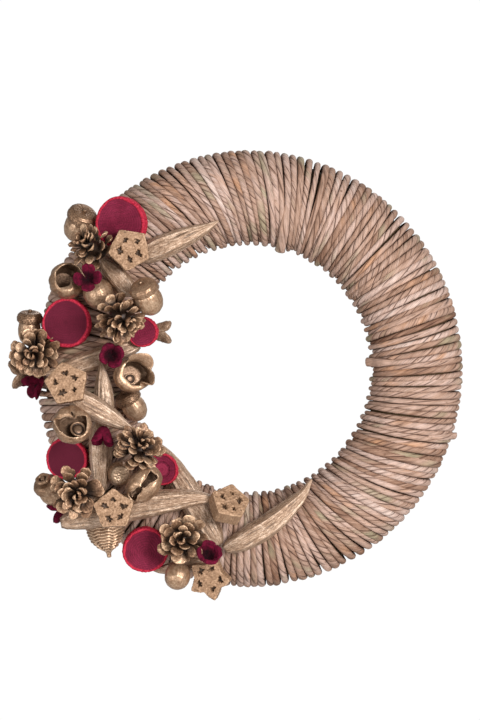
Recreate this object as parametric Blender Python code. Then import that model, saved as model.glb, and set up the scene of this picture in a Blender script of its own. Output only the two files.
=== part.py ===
"""Harvest door wreath: a ring wound with husk cord, with dried fruits glued on its left side.

The wreath hangs flat against a door. +X is to the right and +Z is up for someone who
faces the door, and the front looks along -Y. Lengths in this file are in millimetres
and become metres as each mesh is made. The origin is the point at the top of the
ring's hole where the nail or hook carries it; places of the decorations are counted
from the ring's centre.
"""

import math

import bmesh
import bpy
from mathutils import Matrix, Vector
from mathutils.bvhtree import BVHTree

MM = 0.001

# The wound ring.
OUTER_RADIUS = 151.0       # at the top and bottom
INNER_RADIUS = 84.5
OVAL = 0.975               # the ring's width over its height
HALF_DEPTH = 30.0          # from the middle of the tube to its front
BACK_Y = 26.0              # the flattened back, which lies on the door
CORD_THICKNESS = 5.8
GAP = 0.3                  # left between neighbouring solids
WRAP_COUNT = 10
SPANS_PER_WRAP = 5
SECTION_POINTS = 12

MIDDLE_RADIUS = (OUTER_RADIUS + INNER_RADIUS) / 2
HALF_WIDTH = (OUTER_RADIUS - INNER_RADIUS) / 2

POD_FLATNESS = 0.85        # a pod's thickness over its width, as dried

# How the decorations are laid on.
START_Y = -250.0           # in front of everything
DEEPEST_Y = -4.0           # no decoration reaches further back than this
BACK_OFF = 0.4             # one step away from what a piece touches
SLIPS = (1.2, 2.4)         # how far a piece may slip sideways to lie deeper
SLIP_DIRECTIONS = 8
SLIP_COST = 1.5            # depth that a slip has to win for its own length

# Colours as linear red, green, blue; then roughness and metallic.
FINISHES = {
    "husk_cord": ((0.42, 0.28, 0.21), 0.75, 0.0),
    "straw_core": ((0.55, 0.42, 0.20), 0.90, 0.0),
    "dyed_wood": ((0.20, 0.02, 0.05), 0.60, 0.0),
    "gold_cone": ((0.24, 0.15, 0.09), 0.45, 0.4),
    "gold_pod": ((0.42, 0.30, 0.17), 0.45, 0.4),
    "gold_pith": ((0.42, 0.28, 0.17), 0.65, 0.2),
    "gold_shell": ((0.45, 0.31, 0.19), 0.32, 0.6),
    "burgundy_husk": ((0.11, 0.01, 0.03), 0.95, 0.0),
}


# ---------------------------------------------------------------- meshes


def new_object(name, mesh, finish):
    obj = bpy.data.objects.new(name, mesh)
    bpy.context.collection.objects.link(obj)
    obj.data.materials.append(material(finish))
    return obj


def material(finish):
    if finish in bpy.data.materials:
        return bpy.data.materials[finish]
    colour, roughness, metallic = FINISHES[finish]
    made = bpy.data.materials.new(finish)
    made.use_nodes = True
    shader = made.node_tree.nodes["Principled BSDF"]
    shader.inputs["Base Color"].default_value = (*colour, 1.0)
    shader.inputs["Roughness"].default_value = roughness
    shader.inputs["Metallic"].default_value = metallic
    return made


def skin(rings, loop=False):
    """A closed mesh over rings with equal numbers of points.

    The first and last rings are filled, or joined to each other where loop is set.
    """
    bm = bmesh.new()
    loops = [[bm.verts.new(Vector(point) * MM) for point in ring] for ring in rings]
    pairs = list(zip(loops, loops[1:]))
    if loop:
        pairs.append((loops[-1], loops[0]))
    else:
        bm.faces.new(loops[0])
        bm.faces.new(loops[-1])
    for one, other in pairs:
        for i, vert in enumerate(one):
            j = (i + 1) % len(one)
            bm.faces.new((vert, one[j], other[j], other[i]))
    return finished(bm)


def finished(bm):
    bmesh.ops.triangulate(bm, faces=bm.faces)
    bmesh.ops.recalc_face_normals(bm, faces=bm.faces)
    mesh = bpy.data.meshes.new("solid")
    bm.to_mesh(mesh)
    bm.free()
    mesh.shade_smooth()
    mesh.set_sharp_from_angle(angle=math.radians(35))
    return mesh


def turned(profile, sides, lobe=lambda angle, step: 1.0):
    """Rings about Z from (radius, height) pairs; lobe scales a radius at an angle."""
    rings = []
    for step, (radius, height) in enumerate(profile):
        ring = []
        for i in range(sides):
            angle = math.tau * i / sides
            reach = radius * lobe(angle, step)
            ring.append((reach * math.cos(angle), reach * math.sin(angle), height))
        rings.append(ring)
    return rings


# ---------------------------------------------------------------- the ring


def ring_section(inset):
    """Points (distance from the ring's axis, y) of the D-shaped section, flat at the back."""
    half_width = HALF_WIDTH - inset
    half_depth = HALF_DEPTH - inset
    back = math.asin((BACK_Y - inset) / half_depth)
    section = []
    for i in range(SECTION_POINTS):
        turn = -back + (math.pi + 2 * back) * i / (SECTION_POINTS - 1)
        out = MIDDLE_RADIUS + half_width * math.cos(turn)
        section.append((out, -half_depth * math.sin(turn)))
    return section


def section_at(angle, inset):
    return [
        (OVAL * out * math.cos(angle), y, out * math.sin(angle))
        for out, y in ring_section(inset)
    ]


def make_base_ring():
    """The straw core, closed all the way round and hidden by the cord."""
    count = WRAP_COUNT * SPANS_PER_WRAP
    inset = CORD_THICKNESS + GAP
    start = first_angle()
    stations = [start + math.tau * i / count for i in range(count)]
    rings = [section_at(angle, inset) for angle in stations]
    return new_object("base_ring", skin(rings, loop=True), "straw_core")


def first_angle():
    """Where the first length of cord starts, so that it has the top of the ring in its middle."""
    return math.radians(90) - math.tau / WRAP_COUNT / 2


def make_cord_wrap(number):
    """One length of cord as the open sleeve that its turns make round the core."""
    span = math.tau / WRAP_COUNT
    half_gap = GAP / INNER_RADIUS / 2
    start = first_angle() - span * number
    stations = [start + span * i / SPANS_PER_WRAP for i in range(SPANS_PER_WRAP + 1)]
    stations[0] += half_gap
    stations[-1] -= half_gap
    outside = [section_at(angle, 0.0) for angle in stations]
    inside = [section_at(angle, CORD_THICKNESS) for angle in reversed(stations)]
    mesh = skin(outside + inside, loop=True)
    return new_object(f"cord_wrap_{number + 1:02d}", mesh, "husk_cord")


# ---------------------------------------------------------------- decorations


def wood_slice(diameter, thickness):
    """A slice of a branch with its bark, not quite round."""
    edge = 0.8
    radius = diameter / 2
    profile = [
        (radius - edge, -thickness / 2),
        (radius, edge - thickness / 2),
        (radius, thickness / 2 - edge),
        (radius - edge, thickness / 2),
    ]
    return skin(turned(profile, 18, lambda angle, step: 1 + 0.015 * math.sin(3 * angle)))


def pine_cone(diameter, length):
    """An open cone: whorls of scale tips with the gaps between them."""
    envelope = [0.35, 0.85, 0.75, 1.0, 0.80, 0.88, 0.62, 0.60, 0.22]
    rows = len(envelope)
    profile = [
        (part * diameter / 2, length * (i / (rows - 1) - 0.5)) for i, part in enumerate(envelope)
    ]

    def scales(angle, step):
        return 1 + 0.10 * math.cos(5 * angle + math.pi * step)

    return skin(turned(profile, 10, scales))


def okra_pod(width, length, bend=0.0):
    """A ridged pod, thick near its stalk and drawn out to a tip; bend bows it along Y."""
    outline = [
        (0.00, 0.40), (0.08, 0.78), (0.28, 1.00), (0.50, 0.90),
        (0.75, 0.58), (0.92, 0.25), (1.00, 0.05),
    ]
    profile = [(part * width / 2, length * (along - 0.5)) for along, part in outline]
    rings = turned(profile, 10, lambda angle, step: 1 + 0.07 * math.cos(5 * angle))
    bowed = []
    for (along, part), ring in zip(outline, rings):
        shift = bend * 4 * along * (1 - along)
        bowed.append([(POD_FLATNESS * x, y + shift, z) for x, y, z in ring])
    return skin(bowed)


def okra_slice(radius, thickness, hollow=0.0):
    """A five-cornered slice of a pod, with a pocket in each of its five seed chambers.

    One corner points along +X. hollow draws the sides in, which makes a star.
    """
    pocket_wall = 0.17 * radius
    pocket_depth = 0.3 * thickness
    waist = radius * math.cos(math.pi / 5) * (1 - hollow)
    bm = bmesh.new()
    layers = []
    for height in (-thickness / 2, thickness / 2):
        layer = []
        for i in range(10):
            angle = math.tau * i / 10
            reach = waist if i % 2 else radius
            point = Vector((reach * math.cos(angle), reach * math.sin(angle), height))
            layer.append(bm.verts.new(point * MM))
        layers.append(layer)
    low, high = layers
    middle = bm.verts.new((0, 0, thickness / 2 * MM))
    bm.faces.new(low)
    for i in range(10):
        j = (i + 1) % 10
        bm.faces.new((low[i], low[j], high[j], high[i]))
    chambers = []
    for i in range(0, 10, 2):
        chambers.append(bm.faces.new((middle, high[i - 1], high[i], high[(i + 1) % 10])))
    bmesh.ops.recalc_face_normals(bm, faces=bm.faces)
    bmesh.ops.inset_individual(bm, faces=chambers, thickness=pocket_wall * MM)
    for face in chambers:
        bmesh.ops.translate(bm, verts=face.verts, vec=(0, 0, -pocket_depth * MM))
    return finished(bm)


def acorn(diameter, length):
    """A nut in its cup, stalk at -Z and the nut's point at +Z."""
    outline = [
        (0.00, 0.14), (0.05, 0.14), (0.09, 0.60), (0.22, 0.95), (0.40, 1.00),
        (0.44, 0.80), (0.62, 0.84), (0.84, 0.58), (0.96, 0.16), (1.00, 0.05),
    ]
    profile = [(part * diameter / 2, length * (along - 0.5)) for along, part in outline]
    return skin(turned(profile, 12))


def acorn_cup(diameter, length):
    """An empty cup, its stalk at -Z and its mouth at +Z."""
    wall = 1.6
    outline = [(0.00, 0.08), (0.14, 0.12), (0.30, 0.45), (0.52, 0.85), (0.80, 1.00), (1.00, 0.93)]
    radius = diameter / 2
    outside = [(part * radius, length * (along - 0.5)) for along, part in outline]
    inside = [(max(r - wall, 1.0), z + wall / 2) for r, z in reversed(outside[2:-1])]
    rim = [(outside[-1][0] - wall, outside[-1][1])]
    return skin(turned(outside + rim + inside, 12))


def hazelnut(diameter, length):
    """A round nut with a flat scar at -Z and a blunt point at +Z."""
    outline = [(0.00, 0.62), (0.12, 0.88), (0.38, 1.00), (0.64, 0.88), (0.86, 0.52), (1.00, 0.10)]
    profile = [(part * diameter / 2, length * (along - 0.5)) for along, part in outline]
    return skin(turned(profile, 12))


def seed_husk(diameter, length, flaps):
    """A hollow shell whose mouth, at +Z, is split into flaps that fold inwards."""
    wall = 1.4
    outline = [(0.00, 0.40), (0.18, 0.82), (0.50, 1.00), (0.80, 0.92), (1.00, 0.66)]
    radius = diameter / 2
    outside = [(part * radius, length * (along - 0.5)) for along, part in outline]
    inside = [(max(r - wall, 1.0), z - 0.2) for r, z in reversed(outside[1:-1])]
    rim = [(outside[-1][0] - wall, outside[-1][1])]
    last = len(outside) - 1

    def split(angle, step):
        cut = 0.16 if step in (last, last + 1) else 0.04
        return 1 + cut * math.cos(flaps * angle)

    return skin(turned(outside + rim + inside, 3 * flaps, split))


def beech_husk(diameter, length, spread):
    """A four-lobed husk with its stalk at -Z; spread widens the lobes at its mouth."""
    wall = 1.6
    outline = [(0.00, 0.18), (0.16, 0.55), (0.42, 0.80), (0.72, 0.80 + 0.1 * spread), (1.00, spread)]
    radius = diameter / 2
    outside = [(part * radius, length * (along - 0.5)) for along, part in outline]
    inside = [(max(r - wall, 0.9), z + 0.3) for r, z in reversed(outside[2:-1])]
    rim = [(outside[-1][0] - wall, outside[-1][1])]
    last = len(outside) - 1
    depth = [0.0, 0.05, 0.12, 0.24, 0.34]

    def lobes(angle, step):
        mirrored = min(step, 2 * last + 1 - step)
        return 1 + depth[max(mirrored, 0)] * math.cos(4 * angle)

    return skin(turned(outside + rim + inside, 16, lobes))


# ---------------------------------------------------------------- placing


def facing(heading, rise, roll):
    """The turn that points a piece's own +Z in a direction.

    heading is seen from the front: 0 is right and 90 is up. rise lifts the direction
    out of the plane of the door, and at 90 the piece faces the viewer. All in degrees.
    """
    to_front = Matrix.Rotation(math.radians(90), 4, "X")
    head = Matrix.Rotation(math.radians(heading), 4, "Z")
    lean = Matrix.Rotation(math.radians(90 - rise), 4, "Y")
    spin = Matrix.Rotation(math.radians(roll), 4, "Z")
    return to_front @ head @ lean @ spin


class Heap:
    """What is already on the ring, for laying the next piece against it."""

    def __init__(self):
        self.points = []
        self.faces = []

    def add(self, obj):
        base = len(self.points)
        self.points += [obj.matrix_basis @ vert.co for vert in obj.data.vertices]
        self.faces += [[base + i for i in face.vertices] for face in obj.data.polygons]

    def lay(self, obj):
        """Move a piece towards the door until it almost touches the heap, then add it."""
        points = [obj.matrix_basis @ vert.co for vert in obj.data.vertices]
        polygons = [list(face.vertices) for face in obj.data.polygons]
        heap = BVHTree.FromPolygons(self.points, self.faces)
        moves = []
        for slip in sideways_slips():
            moved = [point + slip for point in points]
            moves.append(slip + Vector((0, self.travel(heap, moved, polygons), 0)))
        obj.location += max(moves, key=lambda move: move.y - SLIP_COST * move.xz.length)
        bpy.context.view_layer.update()
        self.add(obj)

    def travel(self, heap, points, polygons):
        """How far a piece with these points can go towards the door."""
        travel = DEEPEST_Y * MM - max(point.y for point in points)
        back = Vector((0, 1, 0))
        for point in points:
            travel = min(travel, clear_way(heap, point, back))
        own = BVHTree.FromPolygons(points, polygons)
        reach = max((point.xz - points[0].xz).length for point in points)
        for point in self.points:
            if (point.xz - points[0].xz).length <= reach:
                travel = min(travel, clear_way(own, point, -back))
        while self.touches(heap, points, polygons, travel):
            travel -= BACK_OFF * MM
        return travel - BACK_OFF * MM

    @staticmethod
    def touches(heap, points, polygons, travel):
        moved = [point + Vector((0, travel, 0)) for point in points]
        return bool(heap.overlap(BVHTree.FromPolygons(moved, polygons)))


def clear_way(tree, point, direction):
    """The distance from a point to a surface, or infinity where nothing is in the way."""
    distance = tree.ray_cast(point, direction)[3]
    return math.inf if distance is None else distance


def sideways_slips():
    slips = [Vector((0, 0, 0))]
    for distance in SLIPS:
        for i in range(SLIP_DIRECTIONS):
            angle = math.tau * i / SLIP_DIRECTIONS
            slips.append(Vector((math.cos(angle), 0, math.sin(angle))) * distance * MM)
    return slips


def place(heap, name, mesh, finish, at, heading, rise, roll=0.0):
    """Put a piece over a point (across, up) of the ring, turn it and lay it on the heap."""
    obj = new_object(name, mesh, finish)
    spot = Vector((at[0], START_Y, at[1])) * MM
    obj.matrix_basis = Matrix.Translation(spot) @ facing(heading, rise, roll)
    heap.lay(obj)
    return obj


# Each list gives its pieces in the order of their numbers: where the middle of the
# piece lies, its sizes, then where it points (see facing).
WOOD_SLICES = [
    dict(at=(-87, 99), size=(36, 8), heading=185, rise=72),
    dict(at=(-124, 31), size=(34, 7), heading=175, rise=78),
    dict(at=(-72, 25), size=(21, 6), heading=200, rise=78),
    dict(at=(-123, -61), size=(29, 7), heading=200, rise=78),
    dict(at=(-59, -68), size=(22, 6), heading=180, rise=80),
    dict(at=(-71, -123), size=(31.5, 7), heading=300, rise=78),
]
PINE_CONES = [
    dict(at=(-110, 83), size=(29, 27), heading=150, rise=35),
    dict(at=(-85, 31), size=(33, 26), heading=320, rise=50),
    dict(at=(-144, 9), size=(31, 22), heading=250, rise=78),
    dict(at=(-74, -50), size=(33, 25), heading=60, rise=55),
    dict(at=(-115, -84), size=(31, 22), heading=270, rise=75),
    dict(at=(-45, -113), size=(32, 22), heading=90, rise=85),
]
OKRA_SLICES = [
    dict(at=(-82, 80), size=(14.6, 9), heading=0, rise=85, roll=118),
    dict(at=(-122, -13), size=(14.8, 9), heading=90, rise=82, roll=11),
    dict(at=(-93, -94), size=(13.8, 8), heading=90, rise=82, roll=3),
    dict(at=(-16, -90), size=(13.5, 12), heading=62, rise=52, roll=20),
    dict(at=(-27, -142), size=(15, 9, 0.18), heading=210, rise=76, roll=-141),
]
OKRA_PODS = [
    dict(at=(-49, 87), size=(17.5, 62), heading=23, rise=-4),
    dict(at=(-90, 62), size=(15, 32), heading=133, rise=-3),
    dict(at=(-106, 6), size=(15, 66), heading=198, rise=-2),
    dict(at=(-99, -15), size=(14, 42), heading=94, rise=-2),
    dict(at=(-100, -29), size=(17, 50), heading=330, rise=-8),
    dict(at=(-101, -60), size=(16.5, 50), heading=271, rise=0),
    dict(at=(-75, -94), size=(20, 106, 2), heading=10, rise=-2),
    dict(at=(-41, -85), size=(18.5, 80), heading=121, rise=-2),
    dict(at=(11, -100), size=(17, 76, -5), heading=37, rise=-2),
    dict(at=(-48, -135), size=(10, 38), heading=190, rise=-6),
]
ACORNS = [
    dict(at=(-115, 97), size=(21, 27), heading=243, rise=-38),
    dict(at=(-70, 46), size=(19.5, 26), heading=295, rise=-30),
    dict(at=(-151, 28), size=(17.5, 25), heading=267, rise=-15),
    dict(at=(-82, -25), size=(18.5, 24), heading=303, rise=-22),
    dict(at=(-136, -83), size=(18, 26), heading=295, rise=-40),
]
ACORN_CUP = dict(at=(-97, -115), size=(26, 27), heading=97, rise=8)
HAZELNUTS = [
    dict(at=(-103, 51), size=(20, 19), heading=200, rise=60),
    dict(at=(-90, -71), size=(17.5, 16), heading=120, rise=-80),
    dict(at=(-49, -141), size=(17.5, 17.5), heading=260, rise=30),
]
SEED_HUSKS = [
    dict(at=(-124, 57), size=(24, 18, 4), heading=30, rise=65),
    dict(at=(-81, -1), size=(27, 19, 5), heading=0, rise=75),
    dict(at=(-118, -37), size=(27, 18, 5), heading=60, rise=62),
    dict(at=(-73, -76), size=(24, 16, 4), heading=225, rise=78, roll=45),
]
BURGUNDY_HUSKS = [
    dict(at=(-109, 63), size=(15.5, 12, 0.95), heading=90, rise=82),
    dict(at=(-146, -10), size=(15, 16, 0.95), heading=225, rise=15),
    dict(at=(-91, 9), size=(16, 12, 0.80), heading=0, rise=80),
    dict(at=(-97, -43), size=(12, 13, 0.95), heading=265, rise=15),
    dict(at=(-130, -97), size=(12, 15, 0.95), heading=205, rise=8),
    dict(at=(-29, -124), size=(15, 12, 0.85), heading=60, rise=55),
]
GOLD_HUSKS = [
    dict(at=(-62, 25), size=(12.5, 16, 0.95), heading=0, rise=5),
    dict(at=(-156, -3), size=(15, 17, 1.0), heading=190, rise=5),
]

# Maker, finish and list for each kind of decoration.
KINDS = {
    "wood_slice": (wood_slice, "dyed_wood", WOOD_SLICES),
    "pine_cone": (pine_cone, "gold_cone", PINE_CONES),
    "okra_slice": (okra_slice, "gold_pith", OKRA_SLICES),
    "okra_pod": (okra_pod, "gold_pod", OKRA_PODS),
    "acorn": (acorn, "gold_shell", ACORNS),
    "acorn_cup": (acorn_cup, "gold_shell", [ACORN_CUP]),
    "hazelnut": (hazelnut, "gold_shell", HAZELNUTS),
    "seed_husk": (seed_husk, "gold_shell", SEED_HUSKS),
    "burgundy_husk": (beech_husk, "burgundy_husk", BURGUNDY_HUSKS),
    "gold_husk": (beech_husk, "gold_pod", GOLD_HUSKS),
}

# The order in which the pieces were glued on: the ones underneath come first.
GLUED_IN_ORDER = [
    ("gold_husk", 1), ("gold_husk", 2), ("burgundy_husk", 2), ("burgundy_husk", 5),
    ("okra_pod", 3), ("okra_pod", 4), ("okra_pod", 6), ("okra_pod", 8), ("okra_pod", 2),
    ("okra_pod", 1), ("okra_pod", 9), ("okra_pod", 10), ("wood_slice", 4), ("wood_slice", 1),
    ("wood_slice", 6), ("acorn_cup", 1), ("acorn", 1), ("acorn", 3), ("acorn", 5),
    ("acorn", 4), ("wood_slice", 2), ("wood_slice", 3), ("wood_slice", 5), ("okra_pod", 7),
    ("seed_husk", 1), ("hazelnut", 1), ("hazelnut", 2), ("hazelnut", 3), ("pine_cone", 3),
    ("okra_pod", 5), ("seed_husk", 2), ("seed_husk", 3), ("pine_cone", 2), ("pine_cone", 1),
    ("pine_cone", 4), ("pine_cone", 5), ("pine_cone", 6), ("acorn", 2), ("okra_slice", 1),
    ("okra_slice", 2), ("okra_slice", 3), ("okra_slice", 4), ("okra_slice", 5),
    ("seed_husk", 4), ("burgundy_husk", 1), ("burgundy_husk", 3), ("burgundy_husk", 4),
    ("burgundy_husk", 6),
]


def node_name(kind, number):
    if kind == "acorn_cup":
        return kind
    return f"{kind}_{number:02d}"


def decorate(heap):
    decorations = []
    for kind, number in GLUED_IN_ORDER:
        make, finish, pieces = KINDS[kind]
        piece = pieces[number - 1]
        turn = {key: piece[key] for key in ("heading", "rise", "roll") if key in piece}
        name = node_name(kind, number)
        decorations.append(place(heap, name, make(*piece["size"]), finish, piece["at"], **turn))
    return decorations


def main():
    for obj in list(bpy.data.objects):
        bpy.data.objects.remove(obj)

    centre = bpy.data.objects.new("wreath_centre", None)
    centre.location = (0, 0, -INNER_RADIUS * MM)
    bpy.context.collection.objects.link(centre)

    heap = Heap()
    pieces = [make_base_ring()]
    for number in range(WRAP_COUNT):
        pieces.append(make_cord_wrap(number))
        heap.add(pieces[-1])
    pieces += decorate(heap)
    for piece in pieces:
        piece.parent = centre


main()
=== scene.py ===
"""The looks of the harvest door wreath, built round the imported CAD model.

Every decoration is built in its own straight coordinates, in millimetres with its axis
along +Z, and is then turned and put where its CAD solid is. The cord is wound turn by
turn round the ring that the CAD sleeves mark out.
"""

import math

import bpy
import numpy as np
from mathutils import Matrix, Vector


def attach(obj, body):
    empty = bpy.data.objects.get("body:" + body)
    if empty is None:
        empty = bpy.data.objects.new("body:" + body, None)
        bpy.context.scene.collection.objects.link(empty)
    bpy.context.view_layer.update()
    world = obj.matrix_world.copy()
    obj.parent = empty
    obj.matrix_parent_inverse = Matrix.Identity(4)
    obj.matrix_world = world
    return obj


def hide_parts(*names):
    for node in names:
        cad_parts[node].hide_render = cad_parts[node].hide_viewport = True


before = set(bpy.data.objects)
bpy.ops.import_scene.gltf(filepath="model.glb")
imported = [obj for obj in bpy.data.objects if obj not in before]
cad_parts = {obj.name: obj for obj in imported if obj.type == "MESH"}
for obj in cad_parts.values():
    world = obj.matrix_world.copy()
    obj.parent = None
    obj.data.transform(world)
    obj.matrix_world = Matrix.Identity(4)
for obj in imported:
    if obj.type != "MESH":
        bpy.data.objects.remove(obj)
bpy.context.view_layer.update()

MM = 0.001
TAU = math.tau
GOLDEN_ANGLE = math.radians(137.508)
OUTLINE_STEPS = 400
ANY_SEED = 1 << 30          # a seed drawn by chance is below this

# Where the seeds of each kind start.
SEEDS = dict(
    wood=10, cord_width=40, okra_slice=50, okra_pod=70, acorn=90, cord=100, hazelnut=110,
    seed_husk=130, burgundy_husk=150, gold_husk=170,
)

# ---------------------------------------------------------------- where things are

# Which way each decoration's own +Z points: heading as seen from the front (0 right,
# 90 up), rise towards the viewer, and roll about its own axis, all in degrees. The
# places and sizes come from the CAD solids.
TURNS = {
    "wood_slice_01": (185, 72, 0), "wood_slice_02": (175, 78, 0), "wood_slice_03": (200, 78, 0),
    "wood_slice_04": (200, 78, 0), "wood_slice_05": (180, 80, 0), "wood_slice_06": (300, 78, 0),
    "pine_cone_01": (150, 35, 0), "pine_cone_02": (320, 50, 0), "pine_cone_03": (250, 78, 0),
    "pine_cone_04": (60, 55, 0), "pine_cone_05": (270, 75, 0), "pine_cone_06": (90, 85, 0),
    "okra_slice_01": (0, 85, 118), "okra_slice_02": (90, 82, 11), "okra_slice_03": (90, 82, 3),
    "okra_slice_04": (62, 52, 20), "okra_slice_05": (210, 76, -141), "okra_pod_01": (23, -4, 0),
    "okra_pod_02": (133, -3, 0), "okra_pod_03": (198, -2, 0), "okra_pod_04": (94, -2, 0),
    "okra_pod_05": (330, -8, 0), "okra_pod_06": (271, 0, 0), "okra_pod_07": (10, -2, 0),
    "okra_pod_08": (121, -2, 0), "okra_pod_09": (37, -2, 0), "okra_pod_10": (190, -6, 0),
    "acorn_01": (243, -38, 0), "acorn_02": (295, -30, 0), "acorn_03": (267, -15, 0),
    "acorn_04": (303, -22, 0), "acorn_05": (295, -40, 0), "acorn_cup": (97, 8, 0),
    "hazelnut_01": (200, 60, 0), "hazelnut_02": (120, -80, 0), "hazelnut_03": (260, 30, 0),
    "seed_husk_01": (30, 65, 0), "seed_husk_02": (0, 75, 0), "seed_husk_03": (60, 62, 0),
    "seed_husk_04": (225, 78, 45), "burgundy_husk_01": (90, 82, 0),
    "burgundy_husk_02": (225, 15, 0), "burgundy_husk_03": (0, 80, 0),
    "burgundy_husk_04": (265, 15, 0), "burgundy_husk_05": (205, 8, 0),
    "burgundy_husk_06": (60, 55, 0), "gold_husk_01": (0, 5, 0), "gold_husk_02": (190, 5, 0),
}


def facing(heading, rise, roll):
    """The turn from a piece's own coordinates to the wreath's, as a 3 by 3 array."""
    to_front = Matrix.Rotation(math.radians(90), 3, "X")
    head = Matrix.Rotation(math.radians(heading), 3, "Z")
    lean = Matrix.Rotation(math.radians(90 - rise), 3, "Y")
    spin = Matrix.Rotation(math.radians(roll), 3, "Z")
    return np.array(to_front @ head @ lean @ spin)


def corners(node):
    """The points of a CAD node, in millimetres."""
    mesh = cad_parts[node].data
    points = np.zeros(len(mesh.vertices) * 3)
    mesh.vertices.foreach_get("co", points)
    return points.reshape(-1, 3) / MM


class Seat:
    """Where a decoration's CAD solid is: its turn, and its middle and size in its own axes."""

    def __init__(self, node):
        self.node = node
        self.turn = facing(*TURNS[node])
        own = corners(node) @ self.turn
        low, high = own.min(0), own.max(0)
        self.middle = (low + high) / 2
        self.size = high - low


# ---------------------------------------------------------------- mesh building


def smooth(value, low, high):
    """0 below low, 1 above high, and an even curve between them."""
    part = np.clip((value - low) / (high - low), 0, 1)
    return part * part * (3 - 2 * part)


def waves(points, size, seed, count=9):
    """Smooth unevenness of about -1 to 1 whose bumps are about size across."""
    rng = np.random.default_rng(seed)
    ways = rng.normal(size=(3, count))
    ways *= rng.uniform(0.7, 1.4, count) / np.linalg.norm(ways, axis=0)
    swing = np.sin(points @ ways * TAU / size + rng.uniform(0, TAU, count))
    return swing.sum(-1) / math.sqrt(count) * 0.8


def ripple(along, size, seed, count=7):
    """Smooth unevenness of about -1 to 1 along a line, with swells about size long."""
    rng = np.random.default_rng(seed)
    pace = rng.uniform(0.6, 1.5, count)
    swing = np.sin(np.asarray(along)[..., None] * pace * TAU / size + rng.uniform(0, TAU, count))
    return swing.sum(-1) / math.sqrt(count) * 0.9


class Shape:
    """Points, faces and values at the points, which grow into one mesh.

    Each point has "own", its place in straight coordinates for the grain of the
    material, and "mark" and "tone", numbers that the material reads.
    """

    def __init__(self):
        self.points, self.own, self.mark, self.tone = [], [], [], []
        self.quads, self.triangles = [], []
        self.count = 0

    def add(self, points, quads=(), triangles=(), mark=0.0, tone=0.5, own=None):
        points = np.asarray(points, float).reshape(-1, 3)
        total = len(points)
        own = points if own is None else np.asarray(own, float).reshape(-1, 3)
        self.points.append(points)
        self.own.append(own)
        self.mark.append(np.broadcast_to(np.asarray(mark, float).reshape(-1), total))
        self.tone.append(np.broadcast_to(np.asarray(tone, float).reshape(-1), total))
        if len(quads):
            self.quads.append(np.asarray(quads) + self.count)
        if len(triangles):
            self.triangles.append(np.asarray(triangles) + self.count)
        self.count += total

    def grid(self, rows, mark=0.0, tone=0.5, own=None, start=True, end=True):
        """A skin over rows of points that go all the way round; start and end close it."""
        count, around = rows.shape[:2]
        own = rows if own is None else own
        values = [rows, own]
        values += [np.broadcast_to(v, (count, around))[..., None] for v in (mark, tone)]
        flat = [v.reshape(count * around, -1) for v in values]
        step = np.arange(around)
        after = (step + 1) % around
        triangles = []
        total = count * around
        for wanted, row in ((start, 0), (end, count - 1)):
            if not wanted:
                continue
            flat = [np.concatenate([f, v[row].mean(0)[None]]) for f, v in zip(flat, values)]
            hub = np.full(around, total)
            ends = (after, step) if row == 0 else (step, after)
            triangles.append(np.stack([hub, row * around + ends[0], row * around + ends[1]], -1))
            total += 1
        corner = (np.arange(count - 1) * around)[:, None]
        quads = np.stack(
            [corner + step, corner + after, corner + around + after, corner + around + step], -1
        ).reshape(-1, 4)
        triangles = np.concatenate(triangles) if triangles else ()
        self.add(flat[0], quads, triangles, flat[2], flat[3], flat[1])

    def mesh(self, name):
        mesh = bpy.data.meshes.new(name)
        points = np.concatenate(self.points) * MM
        corners_of, sizes = [], []
        for faces, size in ((self.quads, 4), (self.triangles, 3)):
            if faces:
                faces = np.concatenate(faces)
                corners_of.append(faces.reshape(-1))
                sizes.append(np.full(len(faces), size))
        loops, sizes = np.concatenate(corners_of), np.concatenate(sizes)
        mesh.vertices.add(len(points))
        mesh.vertices.foreach_set("co", points.ravel())
        mesh.loops.add(len(loops))
        mesh.loops.foreach_set("vertex_index", loops.astype(np.int32))
        mesh.polygons.add(len(sizes))
        starts = np.concatenate([[0], np.cumsum(sizes)[:-1]])
        mesh.polygons.foreach_set("loop_start", starts.astype(np.int32))
        mesh.update(calc_edges=True)
        mesh.validate()
        for label, kind, field, values in (
            ("own", "FLOAT_VECTOR", "vector", self.own),
            ("mark", "FLOAT", "value", self.mark),
            ("tone", "FLOAT", "value", self.tone),
        ):
            layer = mesh.attributes.new(label, kind, "POINT")
            layer.data.foreach_set(field, np.concatenate(values).astype(np.float32).ravel())
        mesh.shade_smooth()
        return mesh


def angles_of(around):
    return np.arange(around) * TAU / around


def circle(theta, radius=1.0, height=0.0):
    """Points round Z at the angles theta."""
    x, y = radius * np.cos(theta), radius * np.sin(theta)
    return np.stack(np.broadcast_arrays(x, y, height), -1)


def turned_rows(radius, height, around):
    """Rows about Z; radius and height hold one number or one row of numbers for each row."""
    each = [np.asarray(values, float) for values in (radius, height)]
    each = [values[:, None] if values.ndim == 1 else values for values in each]
    shape = (len(each[0]), around)
    return circle(angles_of(around), *(np.broadcast_to(values, shape) for values in each))


def along_outline(outline, big, length, count, softness):
    """Evenly spread radii and heights of a lathed outline, with its corners rounded off.

    The outline is (radius, height) in shares of big and of length.
    """
    outline = (np.asarray(outline, float) - (0, 0.5)) * (big, length)
    steps = np.linalg.norm(np.diff(outline, axis=0), axis=1)
    travelled = np.concatenate([[0], np.cumsum(steps)]) / steps.sum()
    fine = np.linspace(0, 1, OUTLINE_STEPS)
    width = max(int(softness * OUTLINE_STEPS), 1)
    kernel = np.hanning(2 * width + 3)
    kernel /= kernel.sum()
    result = []
    for values in outline.T:
        values = np.interp(fine, travelled, values)
        values = np.pad(values, width + 1, mode="reflect", reflect_type="odd")
        values = np.convolve(values, kernel, "valid")
        result.append(np.interp(np.linspace(0, 1, count), fine, values))
    return result


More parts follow.
